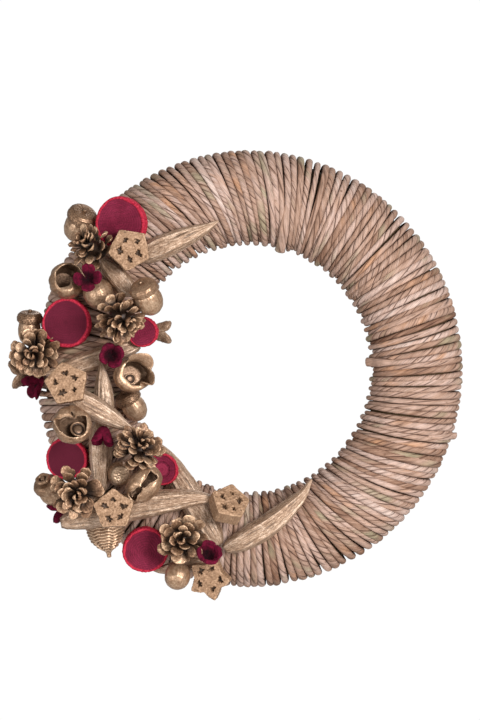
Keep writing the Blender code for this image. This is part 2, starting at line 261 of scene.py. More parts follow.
def show(shape, name, material, nodes, turn=None, offset=(0, 0, 0)):
    """Put a shape in the scene as the piece that stands for some CAD nodes."""
    obj = bpy.data.objects.new(name, shape.mesh(name))
    bpy.context.scene.collection.objects.link(obj)
    matrix = Matrix.Identity(4)
    if turn is not None:
        matrix = Matrix(turn.tolist()).to_4x4()
        matrix.translation = turn @ np.asarray(offset) * MM
    obj.data.transform(matrix)
    obj.data.materials.append(material)
    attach(obj, "root")
    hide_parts(*nodes)
    return obj


def fit_to(shape, place, grow=(1, 1, 1)):
    """Stretch a shape to the size of its CAD solid, times grow."""
    points = np.concatenate(shape.points)
    fit = place.size / (points.max(0) - points.min(0)) * grow
    shape.points = [part * fit for part in shape.points]


def seat(shape, place, material):
    """Centre a decoration's shape where its CAD solid is."""
    points = np.concatenate(shape.points)
    offset = place.middle - (points.min(0) + points.max(0)) / 2
    show(shape, place.node + "_visual", material, [place.node], place.turn, offset)


# ---------------------------------------------------------------- materials


def srgb(red, green, blue):
    """A colour given as 0 to 255 screen values, as linear light with full alpha."""
    parts = []
    for value in (red, green, blue):
        value /= 255
        parts.append(value / 12.92 if value <= 0.04045 else ((value + 0.055) / 1.055) ** 2.4)
    return (*parts, 1.0)


class Paint:
    """A Principled material whose colour, roughness and bump come from nodes."""

    def __init__(self, name, **settings):
        self.material = bpy.data.materials.new(name)
        self.material.use_nodes = True
        self.tree = self.material.node_tree
        self.shader = self.tree.nodes["Principled BSDF"]
        for key, value in settings.items():
            self.shader.inputs[key].default_value = value
        self.own = self.attribute("own", "Vector")
        self.mark = self.attribute("mark", "Fac")
        self.tone = self.attribute("tone", "Fac")

    def node(self, kind, **settings):
        made = self.tree.nodes.new(kind)
        for key, value in settings.items():
            setattr(made, key, value)
        return made

    def join(self, source, socket):
        self.tree.links.new(source, socket)

    def attribute(self, name, output):
        made = self.node("ShaderNodeAttribute", attribute_name=name)
        return made.outputs[output]

    def put(self, socket, value):
        if isinstance(value, bpy.types.NodeSocket):
            self.join(value, socket)
        else:
            socket.default_value = value

    def maths(self, operation, *values):
        made = self.node("ShaderNodeMath", operation=operation)
        for socket, value in zip(made.inputs, values):
            self.put(socket, value)
        return made.outputs[0]

    def vector_maths(self, operation, *values):
        made = self.node("ShaderNodeVectorMath", operation=operation)
        for socket, value in zip(made.inputs, values):
            self.put(socket, value)
        return made.outputs["Value" if operation == "LENGTH" else "Vector"]

    def stretched(self, x=1.0, y=1.0, z=1.0):
        return self.vector_maths("MULTIPLY", self.own, (x, y, z))

    def noise(self, scale, detail=3.0, roughness=0.55, vector=None):
        made = self.node("ShaderNodeTexNoise")
        self.join(self.own if vector is None else vector, made.inputs["Vector"])
        made.inputs["Scale"].default_value = scale
        made.inputs["Detail"].default_value = detail
        made.inputs["Roughness"].default_value = roughness
        return made.outputs["Fac"]

    def ramp(self, value, *stops):
        """stops are (position, colour) pairs, where a colour may be one grey number."""
        made = self.node("ShaderNodeValToRGB")
        elements = made.color_ramp.elements
        while len(elements) < len(stops):
            elements.new(0.5)
        for element, (position, colour) in zip(elements, stops):
            element.position = position
            grey = isinstance(colour, (int, float))
            element.color = (colour, colour, colour, 1.0) if grey else colour
        self.join(value, made.inputs["Fac"])
        return made.outputs["Color"]

    def mix(self, share, one, other, blend="MIX"):
        made = self.node("ShaderNodeMix", data_type="RGBA", blend_type=blend)
        self.put(made.inputs["Factor"], share)
        self.put(made.inputs[6], one)
        self.put(made.inputs[7], other)
        return made.outputs[2]

    def times(self, one, other):
        return self.mix(1.0, one, other, "MULTIPLY")

    def bump(self, height, strength, distance, before=None):
        made = self.node("ShaderNodeBump")
        made.inputs["Strength"].default_value = strength
        made.inputs["Distance"].default_value = distance * MM
        self.join(height, made.inputs["Height"])
        if before is not None:
            self.join(before, made.inputs["Normal"])
        return made.outputs["Normal"]

    def finish(self, colour, roughness=None, normal=None):
        self.join(colour, self.shader.inputs["Base Color"])
        if roughness is not None:
            self.join(roughness, self.shader.inputs["Roughness"])
        if normal is not None:
            self.join(normal, self.shader.inputs["Normal"])
        return self.material


def husk_cord():
    """Maize husk twisted into cord: satin strips, fine fibres, and painted shade in its folds and
    where the cords meet.
    """
    p = Paint("husk_cord", **{"Specular IOR Level": 0.22, "Roughness": 0.6})
    along = p.stretched(1.0, 1.0, 0.10)
    fibres = p.noise(1.9, 3.0, 0.6, along)
    veins = p.noise(0.75, 2.0, 0.5, p.stretched(1.0, 1.0, 0.035))
    patches = p.noise(0.055, 2.0, 0.5, p.stretched(1.0, 1.0, 0.35))
    spots = p.noise(0.35, 3.0, 0.6, p.stretched(1.0, 1.0, 0.6))
    shade = p.maths("ADD", p.maths("MULTIPLY", p.tone, 0.62), p.maths("MULTIPLY", veins, 0.38))
    colour = p.ramp(
        shade,
        (0.20, srgb(112, 78, 60)), (0.36, srgb(152, 118, 98)), (0.50, srgb(178, 146, 128)),
        (0.64, srgb(194, 165, 151)), (0.80, srgb(212, 190, 178)),
    )
    green = p.ramp(patches, (0.56, 0.0), (0.68, 0.75))
    colour = p.mix(green, colour, srgb(158, 148, 120))
    orange = p.ramp(patches, (0.30, 0.7), (0.42, 0.0))
    colour = p.mix(orange, colour, srgb(196, 145, 108))
    colour = p.times(colour, p.ramp(fibres, (0.30, 0.50), (0.5, 0.96), (0.68, 1.14)))
    flecks = p.ramp(spots, (0.27, 0.8), (0.36, 0.0))
    colour = p.mix(flecks, colour, srgb(112, 80, 62))
    # painted shade: mark darkens the cord's sunken folds and its sides where it meets the next
    # turn
    colour = p.mix(p.mark, colour, srgb(70, 42, 30))
    rough = p.ramp(fibres, (0.3, 0.78), (0.7, 0.58))
    normal = p.bump(fibres, 0.7, 0.3)
    return p.finish(colour, rough, normal)


def straw_core():
    """Bundled straw, seen only through gaps of the winding; its colours are straw darkened by
    painted shade for those gaps.
    """
    p = Paint("straw_core", **{"Roughness": 0.85})
    stalks = p.noise(900.0, 3.0, 0.6, p.attribute("position", "Vector"))
    # straw colours darkened into painted shade for the gaps
    colour = p.ramp(stalks, (0.3, srgb(60, 42, 26)), (0.7, srgb(112, 86, 52)))
    return p.finish(colour, None, p.bump(stalks, 0.5, 0.5))


def dyed_wood():
    """Burgundy dyed wood: rings round the pith, saw marks, brighter bark."""
    p = Paint("dyed_wood", **{"Specular IOR Level": 0.15, "Roughness": 0.8})
    out = p.vector_maths("LENGTH", p.stretched(1.0, 1.0, 0.0))
    wander = p.noise(0.16, 2.0, 0.5)
    out = p.maths("ADD", out, p.maths("MULTIPLY", wander, 3.0))
    rings = p.maths("SINE", p.maths("MULTIPLY", out, 5.2))
    rings = p.ramp(p.maths("MULTIPLY_ADD", rings, 0.5, 0.5), (0.0, 0.86), (1.0, 1.03))
    saw = p.noise(1.0, 2.0, 0.6, p.stretched(0.12, 1.2, 0.3))
    grain = p.noise(1.1, 3.0, 0.65)
    blotch = p.noise(0.09, 3.0, 0.55)
    wood = p.ramp(
        blotch, (0.3, srgb(106, 23, 47)), (0.5, srgb(120, 30, 55)), (0.7, srgb(135, 39, 66))
    )
    wood = p.times(wood, rings)
    wood = p.times(wood, p.ramp(saw, (0.3, 0.76), (0.6, 1.06)))
    wood = p.times(wood, p.ramp(grain, (0.3, 0.70), (0.65, 1.12)))
    wood = p.mix(p.ramp(p.tone, (0.5, 0.0), (1.0, 1.0)), wood, srgb(176, 60, 88))
    wood = p.mix(p.ramp(p.tone, (0.0, 1.0), (0.5, 0.0)), wood, srgb(84, 20, 38))
    bark = p.noise(0.9, 4.0, 0.65, p.stretched(1.0, 1.0, 0.5))
    red = p.ramp(
        bark, (0.3, srgb(130, 20, 40)), (0.5, srgb(178, 38, 60)), (0.7, srgb(208, 62, 82))
    )
    colour = p.mix(p.mark, wood, red)
    bumps = p.maths("ADD", p.maths("MULTIPLY", saw, 0.4), grain)
    normal = p.bump(bumps, 0.35, 0.2)
    normal = p.bump(p.maths("MULTIPLY", bark, p.mark), 0.8, 0.8, normal)
    return p.finish(colour, None, normal)


def gold_paint(name, dark, mid, light, metallic, rough, grain, fine, uneven, worn):
    """Gold paint over something dried.

    grain stretches the brushed texture along Z, and worn is the level of the fine
    texture below which the paint has come off.
    """
    p = Paint(name, **{"Metallic": metallic, "Specular IOR Level": 0.5})
    streaks = p.noise(fine, 4.0, 0.62, p.stretched(1.0, 1.0, grain))
    cloud = p.noise(0.22, 3.0, 0.6)
    flecks = p.noise(fine * 1.7, 3.0, 0.7, p.stretched(1.0, 1.0, grain * 2))
    level = p.maths("MULTIPLY_ADD", streaks, uneven, p.maths("MULTIPLY", cloud, 0.35))
    level = p.maths("ADD", level, p.maths("MULTIPLY", p.tone, 0.35))
    centre = 0.35 + uneven / 2
    colour = p.ramp(level, (centre - 0.26, dark), (centre, mid), (centre + 0.22, light))
    bare = p.ramp(flecks, (worn, 0.7), (worn + 0.09, 0.0))
    colour = p.mix(bare, colour, srgb(92, 64, 42))
    # mark darkens towards near black: where the shapes put it in creases, gaps, holes, grooves and
    # hollows it is painted shade, and on cone scales partly also the unpainted brown under the
    # gold
    colour = p.mix(p.mark, colour, srgb(44, 28, 18))
    shine = p.ramp(streaks, (0.3, rough + 0.15), (0.7, rough - 0.05))
    normal = p.bump(streaks, 0.45, 0.3)
    return p.finish(colour, shine, normal)


def burgundy_husk_paint():
    """Velvety dyed husk."""
    p = Paint(
        "burgundy_husk",
        **{
            "Roughness": 0.9, "Specular IOR Level": 0.15, "Sheen Weight": 0.15,
            "Sheen Roughness": 0.4, "Sheen Tint": srgb(200, 60, 100),
        },
    )
    fuzz = p.noise(2.2, 3.0, 0.7)
    cloud = p.noise(0.3, 2.0, 0.5)
    level = p.maths("MULTIPLY_ADD", fuzz, 0.6, p.maths("MULTIPLY", cloud, 0.4))
    colour = p.ramp(
        level, (0.32, srgb(46, 4, 19)), (0.5, srgb(92, 11, 38)), (0.68, srgb(146, 24, 62))
    )
    # mark darkens towards near black; on the lobes' inner faces towards the middle of the husk
    # this is painted shade
    colour = p.mix(p.mark, colour, srgb(30, 8, 14))
    return p.finish(colour, None, p.bump(fuzz, 0.7, 0.4))


CORD = husk_cord()
STRAW = straw_core()
WOOD = dyed_wood()
CONE = gold_paint(
    "gold_cone", srgb(74, 49, 33), srgb(147, 110, 82), srgb(220, 183, 149),
    metallic=0.45, rough=0.40, grain=0.6, fine=0.9, uneven=0.8, worn=0.36,
)
POD = gold_paint(
    "gold_pod", srgb(102, 74, 53), srgb(166, 134, 108), srgb(216, 188, 164),
    metallic=0.3, rough=0.50, grain=0.26, fine=1.25, uneven=0.9, worn=0.40,
)
PITH = gold_paint(
    "gold_pith", srgb(104, 76, 54), srgb(164, 128, 98), srgb(204, 168, 136),
    metallic=0.2, rough=0.55, grain=1.0, fine=0.75, uneven=0.7, worn=0.34,
)
SHELL = gold_paint(
    "gold_shell", srgb(88, 62, 43), srgb(157, 123, 96), srgb(220, 188, 157),
    metallic=0.6, rough=0.33, grain=0.5, fine=0.9, uneven=0.45, worn=0.31,
)
BURGUNDY = burgundy_husk_paint()


# ---------------------------------------------------------------- the wound ring

OVAL = 0.975                # the ring's width over its height
WRAPS = 10
TURNS_PER_WRAP = 18
STATIONS = 132              # along one turn of the cord
CORD_HALF = 2.35            # half the cord's width, mm
TURN_LENGTH = 190           # of cord for one turn, mm
TWIST_LENGTH = 27.0         # of cord for one full twist, mm
# How long the swells in the twist's pace, the cord's width, its folds and its tone are, mm.
PACE_SWELL, WIDTH_SWELL, FOLD_SWELL, TONE_SWELL = 260, 45, 30, 70
INNER_DROP = 2.4            # how far every other turn sinks where they crowd together
BACK_SOFTNESS = 1.6         # how rounded the edge of the flat back is, mm
SKIN_GAP = 0.1              # between the cord and the tube's skin, mm

sleeves = [f"cord_wrap_{number + 1:02d}" for number in range(WRAPS)]
sleeve_points = np.concatenate([corners(name) for name in sleeves])
low_end, high_end = sleeve_points.min(0), sleeve_points.max(0)
RING_UP = (low_end[2] + high_end[2]) / 2
reach = np.hypot(sleeve_points[:, 0] / OVAL, sleeve_points[:, 2] - RING_UP)
MIDDLE_RADIUS = (reach.max() + reach.min()) / 2
HALF_WIDTH = (reach.max() - reach.min()) / 2
HALF_DEPTH = -low_end[1]
BACK = high_end[1]

# How far the cord's outward direction on the front leans from the ring's radius, in
# degrees, by the place round the ring.
LEANS = [
    (-90, 0), (-84, 0), (-75, 5), (-60, 17), (-35, 17), (-20, 10), (-4, 4), (13, 4), (28, -2),
    (47, 2), (60, 1), (80, 12), (95, 12), (113, 20), (135, 6), (170, -4), (190, -10),
    (215, -4), (245, 3), (270, 0),
]

# The ladder of points round the cord, as (angle, radius, painted shade): two folded edges with
# painted shade in their sunken foot, and soft bulges between them.
PLY = [
    (0.00, 1.04, 0.0), (0.12, 0.90, 1.0), (0.27, 0.93, 0.8), (0.46, 0.97, 0.1),
    (0.95, 1.00, 0.0), (1.60, 1.02, 0.0), (2.20, 1.02, 0.0), (2.70, 1.04, 0.0),
    (2.83, 0.90, 1.0), (2.99, 0.94, 0.7), (3.20, 0.97, 0.1), (3.75, 1.00, 0.0),
    (4.35, 1.02, 0.0), (4.75, 0.95, 0.9), (5.10, 1.01, 0.0), (5.75, 1.03, 0.0),
]


def skew_at(degrees):
    """Half the change of place round the ring, in radians, that a turn's lean makes."""
    where = (degrees + 90) % 360 - 90
    lean = np.interp(where, [spot for spot, _ in LEANS], [lean for _, lean in LEANS])
    return HALF_WIDTH / MIDDLE_RADIUS * np.tan(np.radians(lean))


def smoothed(values, width):
    kernel = np.hanning(2 * width + 1)
    kernel /= kernel.sum()
    return np.convolve(np.pad(values, width, mode="edge"), kernel, "valid")


def tube(centre, out, half, thick, turn, fold_shade, tone, own_start, rng):
    """The skin of one cord along centre, with its painted shade, tone and own coordinates.

    out is the way off the ring at each point, and turn the strength of the twist.
    """
    step = np.gradient(centre, axis=0)
    length = np.concatenate([[0], np.cumsum(np.linalg.norm(np.diff(centre, axis=0), axis=1))])
    ahead = step / np.linalg.norm(step, axis=1)[:, None]
    side = np.cross(ahead, out)
    side /= np.linalg.norm(side, axis=1)[:, None]
    up = np.cross(side, ahead)
    ply = np.array(PLY)
    pace = np.clip(1 + 0.6 * ripple(length, PACE_SWELL, rng.integers(ANY_SEED)), 0.2, 2.2)
    spin = np.cumsum(pace * np.gradient(length)) / TWIST_LENGTH * TAU * turn
    count, around = len(centre), len(ply)
    angle = ply[:, 0][None, :] + spin[:, None]
    strength = np.clip(0.75 + ripple(length, FOLD_SWELL, rng.integers(ANY_SEED)), 0.0, 1.8)
    radius = 1 + (ply[:, 1][None, :] - 1) * strength[:, None]
    spots = np.stack([np.cos(ply[:, 0]) * half.mean(), np.sin(ply[:, 0]) * half.mean()], -1)
    along = np.broadcast_to((length + own_start)[:, None, None], (count, around, 1))
    own = np.concatenate([np.broadcast_to(spots[None], (count, around, 2)), along], -1)
    radius = radius + 0.045 * waves(own * (1, 1, 0.35), 2.2, rng.integers(ANY_SEED))
    rows = (
        centre[:, None]
        + side[:, None] * (np.cos(angle) * radius * half[:, None])[..., None]
        + up[:, None] * (np.sin(angle) * radius * thick[:, None])[..., None]
    )
    # painted shade: dark in the sunken folds, and on the cord's sides where it presses against its
    # neighbours
    mark = ply[:, 2][None, :] * np.clip(strength, 0, 1)[:, None] * fold_shade
    mark = np.maximum(mark, 0.92 * (1 - smooth(np.sin(angle), -0.10, 0.52)))
    strips = np.where(ply[:, 0] < 2.8, 0.0, 0.08)
    tones = tone[:, None] + strips * ripple(length, TONE_SWELL, rng.integers(ANY_SEED))[:, None]
    tones = tones + 0.06 * waves(own * (1, 1, 0.2), 5.0, rng.integers(ANY_SEED))
    return rows, np.clip(mark, 0, 1), np.clip(tones, 0, 1), own


def on_ring(place, about, inset, flat_back):
    """A cord's middle line and the way off the ring at each of its points.

    place is the angle round the ring, about the angle round the tube, and inset how far
    under the tube's skin the middle line lies.
    """
    distance = MIDDLE_RADIUS + (HALF_WIDTH - inset) * np.cos(about)
    deep = -(HALF_DEPTH - inset) * np.sin(about)
    if flat_back:
        most = BACK - inset
        deep = most - BACK_SOFTNESS * np.logaddexp(0, (most - deep) / BACK_SOFTNESS)
    centre = np.stack(
        [OVAL * distance * np.cos(place), deep, distance * np.sin(place) + RING_UP], -1
    )
    out = np.stack(
        [np.cos(about) * np.cos(place), -np.sin(about), np.cos(about) * np.sin(place)], -1
    )
    return centre, out


def wound_cord(number):
    """One length of cord, wound round its stretch of the ring."""
    rng = np.random.default_rng(SEEDS["cord"] + number)
    shape = Shape()
    total = TURNS_PER_WRAP * STATIONS + 1
    turn = np.linspace(0, TURNS_PER_WRAP, total)
    which = np.arange(TURNS_PER_WRAP + 1)

    def per_turn(values):
        """A value for each turn, which changes over to the next one behind the ring."""
        index = np.minimum(turn.astype(int), TURNS_PER_WRAP - 1)
        after = np.minimum(index + 1, TURNS_PER_WRAP)
        blend = smooth(turn - index, 0.86, 1.0)
        return values[index] * (1 - blend) + values[after] * blend

    width = per_turn(np.clip(rng.normal(1.0, 0.10, len(which)), 0.80, 1.25))
    sunk = per_turn(((which + number) % 2) * rng.uniform(0.75, 1.0, len(which)))
    swing = [per_turn(rng.normal(0, 1, len(which))) for _ in range(4)]
    lift = per_turn(rng.uniform(-0.5, 0.5, len(which)))
    tone = per_turn(rng.normal(0.5, 0.14, len(which)))

    about = TAU * (turn - 0.25)
    crowd = ((1 - np.cos(about)) / 2) ** 1.2
    half = CORD_HALF * width * (1.06 - 0.26 * crowd)
    half *= 1 + 0.05 * ripple(turn * TURN_LENGTH, WIDTH_SWELL, SEEDS["cord_width"] + number)
    thick = CORD_HALF * (0.5 + 0.5 * width) * (1 - 0.1 * crowd)
    inset = CORD_HALF + SKIN_GAP + sunk * crowd * INNER_DROP
    inset += np.clip(lift * np.sin(about) + 0.25 * swing[3] * np.cos(about * 2), -0.3, 0.9)
    inset = np.maximum(inset, thick * 0.98)
    start = 90 + 180 / WRAPS - 360 / WRAPS * number
    place = start - 360 / WRAPS * turn / TURNS_PER_WRAP
    place = np.radians(place) + skew_at(place) * np.cos(about)
    jitter = swing[0] * np.cos(about) + swing[1] * np.sin(about)
    jitter += 0.5 * swing[2] * np.cos(2 * about)
    place += jitter * 0.0030
    centre, out = on_ring(place, about, inset, True)
    shape.grid(*tube(centre, out, half, thick, 1.0, 1.0, tone, 5000 * number, rng))
    for stub in STUBS:
        if stub["wrap"] == number:
            cord_end(shape, stub, rng)
    show(shape, sleeves[number] + "_visual", CORD, [sleeves[number]])


# Cut ends that stick out of the winding: the wrap each is on, the place round the
# ring, the turn's angle about the tube where it starts and ends, all in degrees.
STUBS = [
    dict(wrap=0, place=77.0, start=95, end=168, lift=2.2, wide=1.5),
    dict(wrap=2, place=3.0, start=120, end=172, lift=2.2, wide=1.35),
    dict(wrap=3, place=-22.0, start=60, end=4, lift=2.0, wide=1.1),
]


def cord_end(shape, stub, rng):
    """A flat end of cord that lies over the others and stands off at its tip."""
    count = 60
    part = np.linspace(0, 1, count)
    about = np.radians(stub["start"] + (stub["end"] - stub["start"]) * part)
    raised = stub["lift"] * smooth(part, 0.0, 0.35) + 2.2 * smooth(part, 0.7, 1.0)
    inset = 2.6 - raised
    place = np.radians(stub["place"] + 1.2 * part) + skew_at(stub["place"]) * np.cos(about)
    centre, out = on_ring(place, about, inset, False)
    half = CORD_HALF * stub["wide"] * (0.55 + 0.45 * smooth(part, 0.0, 0.5))
    thick, tone = np.full(count, 1.5), np.full(count, 0.55)
    shape.grid(*tube(centre, out, half, thick, 0.3, 0.8, tone, 900, rng))


# ---------------------------------------------------------------- decorations


def wood_slice(place, seed, pith, ringed, shade, growth):
    """A slice of branch: bark, a groove inside it, and a sawn face with its pith."""
    radius, thick = place.size[:2].mean() / 2, place.size[2]
    around, face_rows = 168, 40
    theta = angles_of(around)
    ring = circle(theta)
    outline = radius * (1 + 0.016 * np.sin(3 * theta) + 0.006 * waves(ring * 10, 9, seed))
    bark_wide = np.clip(0.115 * radius, 1.3, 2.1) * (1 + 0.16 * waves(ring * 10, 6, seed + 1))
    half = thick / 2
    rough = waves(ring * radius, 2.3, seed + 2)
    rows, marks, tones = [], [], []

    def row(out, height, mark, tone=0.5):
        rows.append(circle(theta, out, height))
        marks.append(np.full(around, mark))
        tones.append(np.full(around, tone))

    row(outline * 0.05, -half, 0.0)
    row(outline * 0.5, -half, 0.0)
    row(outline - bark_wide, -half, 0.0)
    row(outline - 0.5, -half + 0.05, 1.0)
    for level in np.linspace(0.05, 0.93, 9):
        bulge = 0.35 * np.sin(level * math.pi) + 0.22 * rough * np.cos(level * 3 + theta * 5)
        row(outline - 0.35 + bulge, -half + thick * level, 1.0)
    row(outline - 0.45, half - 0.15 + 0.08 * rough, 1.0)
    row(outline - bark_wide * 0.5, half + 0.12 + 0.10 * rough, 1.0)
    row(outline - bark_wide + 0.12, half + 0.02 * rough, 1.0)
    row(outline - bark_wide - 0.12, half - 0.38, 0.55, 0.2)
    row(outline - bark_wide - 0.42, half - 0.12, 0.0, 0.3)
    inner = outline - bark_wide - 0.6
    for part in np.linspace(1, 0.03, face_rows):
        centre = np.array(pith) * radius * (1 - part)
        out = inner * part * (1 + 0.02 * (1 - part) * waves(ring * 5, 7, seed + 5))
        height = half - 0.10 + 0.06 * np.sin(part * radius * 4.6 + 0.6 * rough)
        tone = shade
        if ringed:
            band = math.exp(-(((part - 0.56) / 0.07) ** 2))
            height = height - 0.55 * band * (0.6 + 0.4 * rough)
            tone = shade + 0.2 * (part < 0.48) - 0.30 * band * (0.7 + 0.5 * rough)
        spot = math.exp(-((part / 0.10) ** 2))
        height = height - 0.15 * spot
        rows.append(circle(theta, out, height) + (*centre, 0))
        marks.append(np.zeros(around))
        tones.append(tone - 0.12 * spot + growth * np.sin(part * radius * 3.4 + 0.6 * rough))
    shape = Shape()
    shape.grid(np.stack(rows), np.stack(marks), np.stack(tones))
    seat(shape, place, WOOD)


def cone_scale(length, wide, bend, rng):
    """One woody scale along +X with its inner face up: a stalk that widens to a thick lip."""
    count, around = 14, 20
    part = np.linspace(0, 1, count) ** 0.85
    theta = angles_of(around)
    lip = np.clip(1 - (np.clip(part - 0.74, 0, 1) / 0.265) ** 3, 0.0, 1) ** 0.6
    half = wide / 2 * (0.26 + 0.74 * smooth(part, 0.10, 0.78)) * np.clip(lip, 0.20, 1)
    thick = 0.28 + 0.45 * smooth(part, 0.5, 0.86) * np.clip(lip, 0.3, 1)
    curl = bend * part**2
    x = length * (part - 0.10 * np.abs(bend) * part**3)
    z = length * curl * 0.5
    across = np.cos(theta)[None] * half[:, None]
    cup = 0.40 * (across / (wide / 2)) ** 2 * wide / 2 * smooth(part, 0.1, 0.7)[:, None]
    flat = np.sin(theta)[None] * thick[:, None]
    knob = 0.55 * np.exp(-(((part[:, None] - 0.84) / 0.09) ** 2)) * np.exp(-((across / 1.3) ** 2))
    down = np.sin(theta)[None] < -0.1
    pleats = 0.13 * np.cos(across * 3.4 + rng.uniform(0, 6)) * smooth(part, 0.4, 0.7)[:, None]
    rows = np.stack(
        [
            np.broadcast_to(x[:, None], across.shape) + 0.25 * np.sin(theta)[None] + pleats,
            across,
            z[:, None] + flat + cup + pleats * ~down - knob * down,
        ],
        -1,
    )
    rows += 0.16 * waves(rows, 2.4, rng.integers(ANY_SEED))[..., None]
    inside = np.sin(theta)[None] > 0.2
    # the scale's foot, deep in the cone, goes dark: partly the unpainted brown under the gold,
    # partly painted shade; the pleat troughs get painted shade too
    dark = (1 - smooth(part, 0.40, 0.82))[:, None] * (0.9 + 0.1 * inside)
    dark = dark + 0.25 * smooth(-pleats, 0.05, 0.13) * (1 - smooth(part, 0.86, 0.95))[:, None]
    return rows, np.clip(dark, 0, 1)


def pine_cone(place, count, lip_wide, top, spread, seed):
    """An open cone: scales in spirals round a core, with gold paint on their lips.

    top is how steeply the last scales stand, in degrees, and spread how far its scales
    reach past the CAD solid.
    """
    rng = np.random.default_rng(seed)
    wide, height = place.size[:2].mean(), place.size[2]
    shape = Shape()
    core_z = np.linspace(-0.5, 0.12, 14) * height
    core_r = wide * 0.15 * np.sqrt(np.clip(1 - ((core_z / height + 0.1) / 0.5) ** 2, 0.05, 1))
    # the core, hidden among the scales, is coloured with full painted shade
    shape.grid(turned_rows(core_r, core_z, 20), 1.0, 0.2)
    for number in range(count):
        part = (number + 0.5) / count
        heading = number * GOLDEN_ANGLE + rng.normal(0, 0.22)
        leans = [-24, 0, 0.45 * top, 0.8 * top, top]
        lean = math.radians(np.interp(part, [0, 0.3, 0.7, 0.92, 1], leans))
        lean += rng.normal(0, 0.17)
        level = np.interp(part, [0, 0.5, 1], [-0.34, -0.04, 0.16]) * height
        reaches = [0.40, 0.48, 0.46, 0.36, 0.28]
        reach_out = np.interp(part, [0, 0.25, 0.6, 0.85, 1], reaches) * wide
        start = np.interp(part, [0, 1], [0.10, 0.02]) * wide
        length = max(reach_out - start, 2.0) * rng.uniform(0.80, 1.12)
        lip = np.interp(part, [0, 0.3, 0.75, 1], [0.95, 1.05, 0.88, 0.5])
        lip *= lip_wide * wide * rng.uniform(0.85, 1.12)
        rows, dark = cone_scale(length, lip, rng.uniform(0.0, 0.55) - 0.25 * part, rng)
        tilt = np.array(Matrix.Rotation(-lean, 3, "Y"))
        roll = np.array(Matrix.Rotation(rng.normal(0, 0.38), 3, "X"))
        head = np.array(Matrix.Rotation(heading, 3, "Z"))
        rows = (rows @ roll.T + (start, 0, 0)) @ tilt.T @ head.T + (0, 0, level)
        pale = 0.35 * smooth(np.linspace(0, 1, len(rows)), 0.72, 1.0)[:, None]
        shape.grid(rows, dark, rng.uniform(0.15, 0.85) + pale)
    fit_to(shape, place, (spread, spread, 1))
    seat(shape, place, CONE)


def okra_slice(place, hollow, seed):
    """A thick five-cornered slice with five ragged seed chambers."""
    radius, thick = place.size[0] / (1 + math.cos(math.pi / 5)), place.size[2]
    if hollow:
        radius = place.size[1] / (2 * math.sin(math.radians(72)))
    rng = np.random.default_rng(seed)
    around, face_rows, side_rows = 180, 56, 16
    theta = angles_of(around)
    fifth = np.mod(theta, TAU / 5) - math.pi / 5
    near_edge = 1 - np.abs(fifth) / (math.pi / 5)
    outline = radius * math.cos(math.pi / 5) / np.cos(fifth) * (1 - hollow * near_edge)
    outline = smooth_round(outline, 3)
    ring = circle(theta, outline)
    outline = outline * (1 + 0.020 * waves(ring, 6, seed))
    holes = []
    for number in range(5):
        angle = TAU * number / 5 + rng.normal(0, 0.09)
        out = radius * (0.50 if hollow else 0.47) * rng.uniform(0.94, 1.06)
        size, odd = rng.uniform(0.7, 1.3), rng.integers(99)
        holes.append((out * math.cos(angle), out * math.sin(angle), size, odd))

    def relief(x, y):
        """How deep the face is at a point, and how much painted shade it gets in its holes, cracks
        and pits.
        """
        depth = np.zeros_like(x)
        dark = np.zeros_like(x)
        for hx, hy, big, odd in holes:
            dx, dy = x - hx, y - hy
            way = np.arctan2(dy, dx)
            points_out = 3 + odd % 3
            ragged = 1 + 0.28 * np.cos(points_out * way + odd)
            ragged += 0.24 * np.cos(2 * way + odd * 2.3) + 0.16 * np.cos(9 * way + odd * 1.7)
            size = 0.115 * radius * big * ragged
            away = np.hypot(dx, dy)
            inside = 1 - smooth(away, size * 0.75, size * 1.15)
            lip = np.exp(-(((away - size * 1.5) / (0.3 * size)) ** 2))
            depth += -0.32 * thick * inside + 0.16 * lip
            dark += inside
        spot = np.stack([x, y, x * 0], -1)
        pits = smooth(waves(spot, 2.4, seed + 3), 0.7, 1.5)
        cracks = np.exp(-((waves(spot, 5.0, seed + 8) / 0.07) ** 2))
        cracks *= smooth(waves(spot, 9, seed + 2), 0, 1)
        depth += -0.5 * pits - 0.25 * cracks + 0.12 * waves(spot, 1.9, seed + 4)
        depth += 0.42 * waves(spot, 6, seed + 6)
        dark += 0.5 * cracks
        # dark is painted shade: in the seed chambers, the cracks and the pits
        return depth, np.clip(0.85 * dark + 0.4 * pits, 0, 0.9)

    rows, marks, tones = [], [], []
    half = thick / 2
    for sign in (-1, 1):
        parts = np.linspace(0.02, 1, face_rows) if sign < 0 else np.linspace(1, 0.02, face_rows)
        for part in parts:
            x, y = outline * part * np.cos(theta), outline * part * np.sin(theta)
            depth, dark = relief(x, y)
            edge = 0.30 * smooth(part, 0.95, 1.0)
            rows.append(np.stack([x, y, sign * (half - edge + depth * (part < 0.99))], -1))
            marks.append(dark * (part < 0.99))
            tones.append(np.full(around, 0.45 + 0.3 * smooth(part, 0.93, 1)))
        if sign < 0:
            for level in np.linspace(0.08, 0.92, side_rows):
                out = outline + 0.25 + 0.16 * np.sin(theta * 45 + 2 * np.sin(level * 3))
                out = out + 0.12 * waves(ring + (0, 0, level * thick), 3, seed + 9)
                rows.append(circle(theta, out, thick * (level - 0.5)))
                marks.append(0.15 + 0.15 * np.sin(theta * 45))
                tones.append(np.full(around, 0.5))
    shape = Shape()
    shape.grid(np.stack(rows), np.stack(marks), np.stack(tones))
    seat(shape, place, PITH)


def smooth_round(values, width):
    """Values round a circle, smoothed over width neighbours each way."""
    kernel = np.hanning(2 * width + 3)[1:-1]
    kernel /= kernel.sum()
    return np.convolve(np.pad(values, width, mode="wrap"), kernel, "valid")


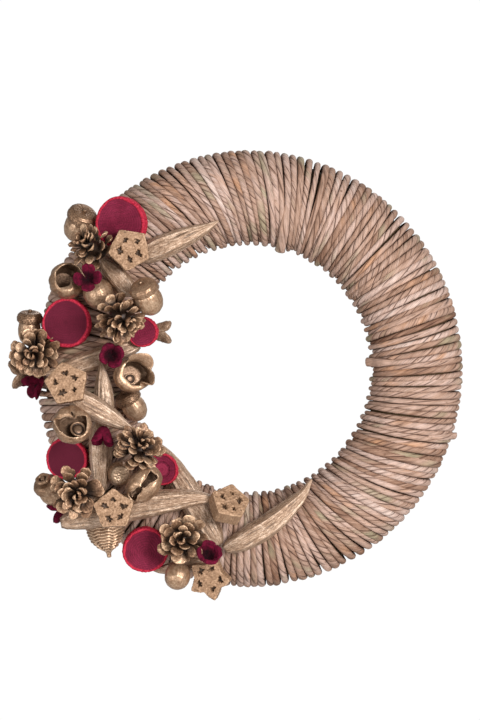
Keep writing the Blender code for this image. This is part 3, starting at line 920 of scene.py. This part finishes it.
def okra_pod(place, bend, blunt, seed):
    """A dried pod: five keels, ribs and wrinkles between them, a neck and a beak."""
    length = place.size[2]
    wide = place.size[0] / 0.85 / 1.05
    count, around = 110, 120
    part = np.linspace(0, 1, count)
    knots = [0.0, 0.03, 0.08, 0.16, 0.30, 0.48, 0.64, 0.78, 0.88, 0.95, 1.0]
    sharp = np.array([0.30, 0.46, 0.70, 0.90, 1.00, 0.93, 0.76, 0.52, 0.32, 0.17, 0.05])
    full = np.array([0.34, 0.52, 0.74, 0.88, 0.97, 1.00, 0.95, 0.80, 0.60, 0.38, 0.12])
    widths = sharp * (1 - blunt) + full * blunt
    radius = smoothed(np.interp(part, knots, widths), 4) * wide / 2
    radius[-1] = (0.03 + 0.05 * blunt) * wide
    theta = angles_of(around)
    keel = (1 - np.abs(np.sin(2.5 * theta))) ** 1.6
    rng = np.random.default_rng(seed)
    twist = rng.uniform(-0.25, 0.25) * part[:, None]
    grain = circle(theta, wide / 2, part[:, None] * length)
    ribs = np.cos(15 * theta + 0.5 * np.sin(part[:, None] * 5 + seed))
    creases = waves(grain * (1, 1, 0.11), 2.2, seed + 1)
    dents = waves(grain * (1, 1, 0.5), 9, seed + 2)
    fade = (smooth(part, 0.0, 0.1) * (1 - 0.6 * smooth(part, 0.8, 1)))[:, None]
    relief = 0.13 * keel + fade * (0.014 * ribs + 0.020 * creases + 0.022 * dents)
    radii = radius[:, None] * (0.94 + relief)
    neck = smooth(part, 0.035, 0.05) - smooth(part, 0.0, 0.03)
    radii += -0.35 * neck[:, None] * (part < 0.06)[:, None]
    angle = theta[None] + twist
    bow = bend * 4 * part * (1 - part)
    rows = np.stack(
        [
            0.85 * radii * np.cos(angle),
            radii * np.sin(angle) + bow[:, None],
            np.broadcast_to((part[:, None] - 0.5) * length, radii.shape),
        ],
        -1,
    )
    hook = rng.uniform(-1, 1, 2) * 0.035 * length
    tip = smooth(part, 0.8, 1.0)[:, None] ** 2
    rows[..., :2] += hook * tip[..., None]
    low = -(ribs * 0.35 + creases * 0.8)
    flecks = smooth(waves(grain * (1, 1, 0.22), 1.5, seed + 7), 0.75, 1.4)
    # painted shade in the troughs of the ribs and creases; the flecks are the paint's own dark
    # flecks
    mark = np.clip(0.6 * smooth(low, 0.5, 1.2) * fade + 0.45 * flecks, 0, 1)
    mark = np.maximum(mark, 0.5 * (1 - smooth(part, 0.0, 0.02))[:, None])
    # painted highlight: the raised keels are coloured lighter
    tone = 0.5 + 0.25 * keel + 0.15 * waves(grain * (1, 1, 0.3), 14, seed + 4)
    shape = Shape()
    shape.grid(rows, mark, np.clip(tone, 0, 1), grain)
    seat(shape, place, POD)


def acorn(place, nut_wide, scaly, stalked, seed):
    """A nut in its cup: overlapping bracts on the cup, a stalk scar, a smooth tipped nut.

    scaly is how strong the bracts are. A stalked one still has the thick ringed foot of
    its stalk on the cup.
    """
    wide, full = place.size[:2].mean(), place.size[2]
    foot = 0.15 * full if stalked else 0.0
    length = full - foot
    shape = Shape()
    big = wide / 2
    # the cup
    count, around = 64, 120
    theta = angles_of(around)
    outline = [
        (0.14, 0.045), (0.45, 0.03), (0.74, 0.045), (0.92, 0.10), (0.995, 0.18), (1.0, 0.25),
        (0.97, 0.305), (0.92, 0.32), (0.86, 0.31), (0.76, 0.29),
    ]
    radius, height = along_outline(outline, big, length, count, 0.04)
    part = np.linspace(0, 1, count)
    bract_rows, per_row = 11, 24
    level = part * bract_rows
    row = np.floor(level)
    inside = level - row
    across = np.mod(theta[None] * per_row / TAU + 0.5 * (row[:, None] % 2), 1) - 0.5
    point = 1 - np.abs(across) * 1.5
    scale = inside[:, None] * np.clip(point, 0, 1)
    outer = (part < 0.84)[:, None]
    relief = scaly * (0.42 * scale - 0.12) * outer * smooth(part, 0.02, 0.15)[:, None]
    relief = relief + 0.22 * waves(circle(theta, big, height[:, None]), 4.5, seed)
    rows = turned_rows(radius[:, None] + relief, height[:, None] + 0.5 * relief, around)
    # painted shade in the gaps between the bracts, and round the inside of the rim where the nut
    # sits
    gaps = 1.8 * (1 - inside[:, None]) ** 2 * (1 - np.clip(point, 0, 1)) * outer
    mark = np.maximum(np.clip(gaps, 0, 0.8) * scaly, smooth(part, 0.90, 1)[:, None] * 0.9)
    # painted highlight and shade: the raised ends of the bracts are coloured lighter, their feet
    # darker
    tone = 0.58 - 0.5 * scaly + 0.5 * scaly * np.clip(scale, 0, 1)
    shape.grid(rows, mark, tone, end=False)
    # the stalk's stump, or its ringed foot
    if stalked:
        stump = [
            (0.01, -0.03), (0.14, -0.03), (0.19, 0.03), (0.27, 0.03), (0.33, -0.03),
            (0.50, -0.045), (0.58, -0.01), (0.57, 0.05), (0.42, 0.075), (0.30, 0.10),
            (0.33, 0.15),
        ]
    else:
        stump = [(0.0, -0.03), (0.12, -0.03), (0.16, 0.0), (0.14, 0.045), (0.19, 0.08)]
    radius, height = along_outline(stump, big, length, 40, 0.03)
    radius, height = radius + 0.01, height - 0.55 * foot
    lumps = 1 + 0.05 * np.sin(5 * angles_of(48) + seed)
    # painted shade in the groove round the stalk's foot
    groove = np.exp(-(((radius / big - 0.24) / 0.07) ** 2)) * (height < (0.08 - 0.5) * length)
    dark = 0.95 * groove if stalked else np.full(len(radius), 0.45)
    shape.grid(turned_rows(radius[:, None] * lumps, height, 48), dark[:, None], 0.5)
    # the nut
    nut = [
        (0.80, 0.27), (0.93, 0.38), (1.0, 0.52), (0.96, 0.68), (0.80, 0.83), (0.50, 0.94),
        (0.22, 0.975), (0.095, 0.985), (0.06, 1.0), (0.0, 1.005),
    ]
    radius, height = along_outline(nut, big * nut_wide, length, 60, 0.035)
    ribs = 1 + 0.006 * np.sin(16 * theta) + 0.004 * np.sin(9 * theta + seed)
    rows = turned_rows(radius[:, None] * ribs, height, around)
    shape.grid(rows, 0.0, 0.7, start=False)
    seat(shape, place, SHELL)


def acorn_cup(place):
    """A ridged cup that narrows to its stalk, seen with its mouth behind."""
    big, length = place.size[:2].mean() / 2, place.size[2]
    count, around = 120, 120
    theta = angles_of(around)
    outline = [
        (0.10, 0.0), (0.13, 0.03), (0.11, 0.09), (0.18, 0.15), (0.48, 0.26), (0.82, 0.45),
        (0.97, 0.66), (1.0, 0.86), (0.97, 0.98), (0.90, 1.0), (0.84, 0.93), (0.78, 0.7),
        (0.55, 0.46), (0.2, 0.36),
    ]
    radius, height = along_outline(outline, big, length, count, 0.03)
    part = np.linspace(0, 1, count)
    outer = (smooth(part, 0.10, 0.18) * (1 - smooth(part, 0.56, 0.62)))[:, None]
    wave = 0.6 * np.sin(5 * theta + 2) + 0.35 * np.sin(11 * theta)
    ribs = np.sin((height[:, None] + wave[None] * 0.9) * TAU / 2.2)
    relief = 0.62 * outer * ribs
    rows = turned_rows(radius[:, None] + relief, height[:, None] - 0.3 * relief, around)
    # painted shade in the troughs between the ribs and over the inside of the cup
    mark = np.clip(outer * 0.45 * smooth(-ribs, 0.45, 1.0), 0, 1)
    mark = np.maximum(mark, 0.8 * smooth(part, 0.62, 0.75)[:, None])
    shape = Shape()
    # painted highlight: the crests of the ribs are coloured lighter
    shape.grid(rows, mark, 0.65 + 0.35 * ribs)
    seat(shape, place, SHELL)


def hazelnut(place, seed):
    """A smooth nut with a fine grain, a blunt point and a rough pale scar."""
    big, length = place.size[:2].mean() / 2, place.size[2]
    count, around = 90, 120
    theta = angles_of(around)
    outline = [
        (0.02, 0.05), (0.35, 0.03), (0.62, 0.025), (0.72, 0.055), (0.87, 0.16), (0.98, 0.34),
        (1.0, 0.50), (0.93, 0.68), (0.76, 0.83), (0.46, 0.945), (0.20, 0.985), (0.07, 1.0),
        (0.01, 1.0),
    ]
    radius, height = along_outline(outline, big, length, count, 0.03)
    part = np.linspace(0, 1, count)
    scar = 1 - smooth(part, 0.225, 0.26)
    spots = circle(theta, 9 * (radius / big)[:, None])
    rough = waves(spots, 1.8, seed)
    rim = np.exp(-(((part - 0.25) / 0.02) ** 2))
    ribs = 0.006 * np.sin(22 * theta + seed)[None] * (1 - scar)[:, None]
    rows = turned_rows(
        radius[:, None] * (1 + ribs + 0.012 * waves(spots, 9, seed + 3)),
        height[:, None] - 0.10 * rough * scar[:, None] - 0.3 * rim[:, None],
        around,
    )
    # painted shade in the groove round the scar and in the low spots of the rough scar
    mark = np.clip(0.30 * rim[:, None] + 0.06 * scar[:, None] * smooth(-rough, 0.3, 1.2), 0, 1)
    shape = Shape()
    shape.grid(rows, mark, 0.62 + 0.45 * scar[:, None])
    seat(shape, place, SHELL)


def seed_husk(place, flaps, eye, stretch, seed):
    """A hollow woody husk with flaps round its mouth and perhaps a ringed scar inside.

    A flap is (angle, half its width, both in degrees, its reach, how far it bends in or,
    if less than 0, out, and how pointed it is). eye is (x, y, radius, height), the first
    three in shares of the husk's radius and the last of its length. stretch is (angle,
    amount).
    """
    big, length = place.size[:2].mean() / 2, place.size[2]
    around, count, open_rows = 200, 60, 6
    theta = angles_of(around)
    reach, bend = np.full(around, 0.18), np.full(around, 0.45)
    for angle, half, far, inward, pointed in flaps:
        off = np.abs(np.angle(np.exp(1j * (theta - math.radians(angle)))))
        share = np.clip(1 - np.degrees(off) / half, 0, 1)
        reach = np.maximum(reach, far * share**pointed)
        weight = smooth(share, -0.02, 0.10)
        bend = bend * (1 - weight) + inward * weight
    reach, bend = smooth_round(reach, 2), smooth_round(bend, 4)
    part = np.linspace(0, 1, count)[:, None]
    body_r = np.interp(part, [0, 0.12, 0.35, 0.7, 1.0], [0.18, 0.62, 0.93, 1.0, 0.92])
    body_z = np.interp(part, [0, 0.12, 0.35, 0.7, 1.0], [0.0, 0.05, 0.28, 0.72, 0.98])
    body_r = np.apply_along_axis(smoothed, 0, body_r, 4)
    body_z = np.apply_along_axis(smoothed, 0, body_z, 4)
    lip = np.linspace(0, 1, 40)[1:, None]
    bent = lip * math.pi * 0.62 * np.where(np.abs(bend) < 0.02, 0.02, bend)[None]
    lip_r = np.maximum(body_r[-1:] - (1 - np.cos(bent)) / bent * reach * lip, 0.03)
    lip_z = body_z[-1:] + np.sin(bent) / bent * reach * lip * big / length
    radius = np.concatenate([np.broadcast_to(body_r, (count, around)), lip_r])
    height = np.concatenate([np.broadcast_to(body_z, (count, around)), lip_z])
    spots = circle(theta, big, height * length)
    creases = waves(spots * (1, 1, 0.4), 2.4, seed + 1)
    bumps = 0.40 * waves(spots, 9, seed) + 0.09 * creases
    outer = circle(theta, radius * big + bumps, (height - 0.5) * length + 0.2 * bumps)
    du = np.gradient(outer, axis=0)
    dv = np.roll(outer, -1, axis=1) - np.roll(outer, 1, axis=1)
    normal = np.cross(dv, du)
    normal /= np.maximum(np.linalg.norm(normal, axis=-1, keepdims=True), 1e-6)
    wall = 1.4 * np.clip(1 - 0.35 * np.concatenate([np.zeros((count, 1)), lip]), 0.4, 1)
    inner = outer - normal * wall[..., None]
    rows = np.concatenate([outer, inner[::-1][:-open_rows]])
    # painted shade inside the husk, darkest deep in the hollow
    inside_shade = np.concatenate([0.55 - part * 0.45, 0.10 - 0.1 * lip])
    inside_shade = np.broadcast_to(np.clip(inside_shade, 0, 0.5), (len(outer), around))
    # painted shade in the troughs of the creases
    folds = 0.30 * smooth(-creases, 0.7, 1.6)
    mark = np.concatenate([folds, inside_shade[::-1][:-open_rows]])
    edge = 0.5 + 0.25 * np.concatenate([part * 0, lip**3])
    tone = np.broadcast_to(edge, outer.shape[:2])
    # the inside is coloured darker as painted shade
    tone = np.concatenate([tone, 0.8 * tone[::-1][:-open_rows]])
    shape = Shape()
    shape.grid(rows, np.clip(mark, 0, 1), tone)
    if eye:
        disc_r = np.array([0.9, 1.0, 0.97, 0.86, 0.74, 0.68, 0.56, 0.48, 0.3, 0.02]) * eye[2] * big
        disc_z = np.array([-4.0, -0.6, 0.2, 0.5, 0.1, -0.8, -0.8, -0.2, 0.0, 0.05])
        # the eye is darker overall, with painted shade strongest in its sunken groove
        dark = np.array([0.4, 0.3, 0.2, 0.2, 0.5, 1.0, 1.0, 0.6, 0.5, 0.5])[:, None]
        disc = turned_rows(disc_r, disc_z + (eye[3] - 0.5) * length, 48)
        shape.grid(disc + (eye[0] * big, eye[1] * big, 0), dark, 0.4)
    along = circle(math.radians(stretch[0]))
    grow = np.eye(3) + (stretch[1] - 1) * np.outer(along, along)
    shape.points = [points @ grow for points in shape.points]
    fit_to(shape, place)
    seat(shape, place, SHELL)


BRISTLE_FACES = [[0, 1, 3], [1, 2, 3], [2, 0, 3], [0, 2, 1]]


def beech_husk(place, spread, broad, pointed, roll, seed, material, slot, spines):
    """A husk that has opened into four thick lobes, with bristles on their outsides."""
    rng = np.random.default_rng(seed)
    big, length = place.size[:2].mean() / 2, place.size[2]
    shape = Shape()
    count, around = 34, 40
    part = np.linspace(0, 1, count)
    theta = angles_of(around)
    for number in range(4):
        flare = spread * rng.uniform(0.92, 1.06)
        outs = [0.06, 0.30, 0.60, 0.60 + 0.32 * flare, 0.60 + 0.42 * flare]
        out = np.interp(part, [0, 0.2, 0.55, 0.85, 1], outs)
        up = np.interp(part, [0, 0.2, 0.55, 0.85, 1], [0.0, 0.14, 0.55, 0.90, 1.0])
        out, up = smoothed(out, 3) * big, smoothed(up, 3) * length
        knots = [0, 0.15, 0.45, 0.75, 0.90, 0.97, 1]
        half = np.interp(part, knots, [0.12, 0.25, 0.44, 0.52, 0.42, 0.24, 0.06]) * (1 - pointed)
        half += np.interp(part, knots, [0.16, 0.34, 0.50, 0.40, 0.20, 0.09, 0.04]) * pointed
        half = smoothed(half * broad, 2) * big
        thick = np.interp(part, [0, 0.5, 0.85, 1], [1.0, 1.5, 1.9 - 0.5 * spread, 0.5])
        sides = np.cos(theta)[None] * half[:, None]
        wrap = (sides / big) ** 2 * (1.15 - 0.75 * spread) * big
        slope_out, slope_up = np.gradient(out), np.gradient(up)
        norm = np.hypot(slope_out, slope_up)
        face_out, face_up = slope_up / norm, -slope_out / norm
        off = np.sin(theta)[None] * thick[:, None] * (1 + 0.25 * np.cos(2 * theta)[None])
        x = out[:, None] + off * face_out[:, None] - wrap
        z = up[:, None] + off * face_up[:, None] + 0.5 * wrap
        rows = np.stack([x, sides, z], -1)
        rows += 0.20 * waves(rows, 2.8, rng.integers(ANY_SEED))[..., None]
        turn = math.radians(90 * number + roll) + rng.normal(0, 0.09)
        rows = rows @ np.array(Matrix.Rotation(turn, 3, "Z")).T
        # painted shade: the lobes' inner faces go dark towards the middle of the husk
        inner = (np.sin(theta)[None] < 0.1) * (1 - smooth(part, 0.35, 0.68))[:, None]
        vein = 0.35 * np.exp(-((sides / 0.5) ** 2)) * (np.sin(theta)[None] < 0)
        dark = np.clip(0.9 * inner + vein, 0, 1)
        shape.grid(rows, dark, rng.uniform(0.3, 0.7))
        for _ in range(spines):
            i, j = rng.integers(2, count - 1), rng.integers(0, around)
            foot = rows[i, j]
            du = rows[min(i + 1, count - 1), j] - rows[i - 1, j]
            dv = rows[i, (j + 1) % around] - rows[i, j - 1]
            normal = np.cross(dv, du)
            normal /= max(np.linalg.norm(normal), 1e-6)
            way = normal + 0.5 * du / max(np.linalg.norm(du), 1e-6) + rng.normal(0, 0.3, 3)
            way /= np.linalg.norm(way)
            one = np.cross(way, (0.3, 0.5, 0.8))
            one /= np.linalg.norm(one)
            two = np.cross(way, one)
            tall = rng.uniform(0.4, 0.8)
            spots = [foot + 0.17 * (math.cos(a) * one + math.sin(a) * two) for a in (0, 2.1, 4.2)]
            shape.add(np.stack([*spots, foot + way * tall]), triangles=BRISTLE_FACES, tone=0.6)
    stalk = turned_rows([0.12 * big, 0.16 * big, 0.22 * big, 0.12 * big], [0, 0.4, 0.9, 1.2], 12)
    shape.grid(stalk, 1.0, 0.3)
    fit_to(shape, place)
    seat(shape, place, material)


# For each seed husk its flaps, its eye and its stretch.
SEED_HUSKS = [
    ([(-110, 60, 0.95, 1.25, 0.50), (80, 60, 0.30, 0.3, 0.8)], None, (0, 1.0)),
    (
        [
            (62, 50, 0.95, -0.95, 0.5), (-20, 50, 1.05, -0.30, 0.8), (-140, 105, 0.70, 1.15, 0.4),
        ],
        (-0.14, -0.18, 0.34, 0.86),
        (0, 1.0),
    ),
    (
        [
            (128, 34, 0.95, -0.50, 1.1), (10, 44, 1.25, 0.95, 0.60), (72, 40, 1.30, 0.80, 0.65),
            (-60, 70, 0.35, 0.9, 0.5),
        ],
        (-0.04, -0.36, 0.42, 0.70),
        (0, 1.0),
    ),
    (
        [
            (45, 64, 1.25, 1.05, 0.20), (225, 64, 1.30, 0.92, 0.20), (135, 30, 0.20, 0.3, 0.6),
            (315, 30, 0.22, 0.3, 0.6),
        ],
        None,
        (-45, 1.45),
    ),
]


BRISTLES = 380              # on one lobe of a burgundy husk


def decorate():
    # pith, ringed, shade and growth rings
    slices = [
        ((0.05, -0.1), 0, 0.5, 0.05), ((0, 0), 0, 0.14, 0.04), ((-0.1, 0.1), 0, 0.5, 0.07),
        ((0.1, -0.25), 0, 0.0, 0.04), ((0, 0), 1, 0.5, 0.06), ((0.12, -0.1), 0, 0.42, 0.14),
    ]
    for number, looks in enumerate(slices, 1):
        wood_slice(Seat(f"wood_slice_{number:02d}"), SEEDS["wood"] + number, *looks)
    # count, lip width, top, spread and seed
    cones = [
        (46, 0.18, 74, 1.0, 31), (52, 0.17, 72, 1.0, 32), (46, 0.20, 76, 1.10, 33),
        (54, 0.165, 76, 1.0, 34), (46, 0.20, 74, 1.14, 435), (34, 0.23, 70, 1.03, 36),
    ]
    for number, looks in enumerate(cones, 1):
        pine_cone(Seat(f"pine_cone_{number:02d}"), *looks)
    for number in range(1, 6):
        hollow = 0.22 if number == 5 else 0.0
        okra_slice(Seat(f"okra_slice_{number:02d}"), hollow, SEEDS["okra_slice"] + number)
    bends = {7: 2.0, 9: -5.0}
    blunts = [0.1, 0.7, 0.6, 0.0, 0.3, 0.6, 0.75, 0.7, 0.3, 0.5]
    for number, blunt in enumerate(blunts, 1):
        bend = bends.get(number, 0.0)
        okra_pod(Seat(f"okra_pod_{number:02d}"), bend, blunt, SEEDS["okra_pod"] + number)
    # how wide the nut is, and how scaly the cup
    acorns = [(0.90, 0.7), (0.97, 0.3), (0.90, 0.9), (0.88, 1.0), (0.85, 0.3)]
    for number, (nut_wide, scaly) in enumerate(acorns, 1):
        place = Seat(f"acorn_{number:02d}")
        acorn(place, nut_wide, scaly, number == 5, SEEDS["acorn"] + number)
    acorn_cup(Seat("acorn_cup"))
    for number in range(1, 4):
        hazelnut(Seat(f"hazelnut_{number:02d}"), SEEDS["hazelnut"] + number)
    for number, looks in enumerate(SEED_HUSKS, 1):
        seed_husk(Seat(f"seed_husk_{number:02d}"), *looks, SEEDS["seed_husk"] + number)
    # how far each husk has opened, how broad and pointed its lobes are and its roll
    husks = [
        (1.0, 0.98, 0, 0), (0.9, 1.0, 0.7, 30), (0.5, 1.0, 0, 20), (0.9, 1.1, 0.4, 45),
        (1.0, 1.1, 0.9, 45), (0.5, 1.0, 0, 35),
    ]
    for number, shape_of in enumerate(husks, 1):
        place = Seat(f"burgundy_husk_{number:02d}")
        seed = SEEDS["burgundy_husk"] + number
        beech_husk(place, *shape_of, seed, BURGUNDY, "burgundy_husk", BRISTLES)
    for number in (1, 2):
        place = Seat(f"gold_husk_{number:02d}")
        seed = SEEDS["gold_husk"] + number
        beech_husk(place, 1.0, 1.25, 0.8, 45, seed, POD, "gold_pod", 0)


# ---------------------------------------------------------------- stage, lights, camera


FLOOR_RADIUS = 700.0        # mm
FLOOR_BELOW = 350.0         # under the middle of the ring, mm
SKY_LIGHT, SKY_SEEN = 0.34, 1.02
LENS, SENSOR = 144.9, 36    # focal length and height, mm
CAMERA_PLACE = (-0.0066, -2.0, 0.0059)  # from the middle of the ring, m
# Each light's name, place, sides in metres and power in watts.
LIGHTS = [
    ("key", (0.80, -1.6, 0.14), (0.6, 0.6), 36), ("fill", (-1.2, -1.2, -0.4), (1.0, 1.0), 11),
    ("rim", (0.3, 1.2, 0.9), (1.0, 1.0), 8),
]


def floor():
    """A round pale floor, well below the wreath."""
    low = Shape()
    radii = np.linspace(0.0, FLOOR_RADIUS, 8)[1:]
    low.grid(circle(angles_of(64), radii[:, None]), end=False)
    obj = bpy.data.objects.new("floor", low.mesh("floor"))
    bpy.context.scene.collection.objects.link(obj)
    obj.location = (0, 0, (RING_UP - FLOOR_BELOW) * MM)
    p = Paint("floor", **{"Roughness": 0.9})
    p.finish(p.ramp(p.noise(0.01), (0.3, 0.80), (0.7, 0.84)))
    obj.data.materials.append(p.material)


def area_light(name, place, size, power):
    data = bpy.data.lights.new(name, "AREA")
    data.shape = "RECTANGLE"
    data.size, data.size_y = size
    data.energy = power
    obj = bpy.data.objects.new(name, data)
    obj.location = place
    aim = Vector((0, 0, RING_UP * MM)) - obj.location
    obj.rotation_euler = aim.to_track_quat("-Z", "Y").to_euler()
    bpy.context.scene.collection.objects.link(obj)


def surroundings():
    """White all round: bright to the camera, dimmer as light."""
    world = bpy.data.worlds.new("studio")
    bpy.context.scene.world = world
    world.use_nodes = True
    tree = world.node_tree
    sky = tree.nodes["Background"]
    sky.inputs["Color"].default_value = (1, 1, 1, 1)
    path = tree.nodes.new("ShaderNodeLightPath")
    strength = tree.nodes.new("ShaderNodeMapRange")
    tree.links.new(path.outputs["Is Camera Ray"], strength.inputs["Value"])
    strength.inputs["To Min"].default_value = SKY_LIGHT
    strength.inputs["To Max"].default_value = SKY_SEEN
    tree.links.new(strength.outputs["Result"], sky.inputs["Strength"])


def camera():
    data = bpy.data.cameras.new("camera")
    data.sensor_fit = "VERTICAL"
    data.sensor_height = data.sensor_width = SENSOR
    data.lens = LENS
    obj = bpy.data.objects.new("camera", data)
    x, y, z = CAMERA_PLACE
    obj.location = (x, y, z + RING_UP * MM)
    obj.rotation_euler = (math.radians(90), 0, 0)
    bpy.context.scene.collection.objects.link(obj)
    bpy.context.scene.camera = obj


for wrap_number in range(WRAPS):
    wound_cord(wrap_number)
decorate()
core_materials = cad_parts["base_ring"].data.materials
core_materials.clear()
core_materials.append(STRAW)

floor()
surroundings()
for light in LIGHTS:
    area_light(*light)
camera()
bpy.context.scene.view_settings.view_transform = "Standard"
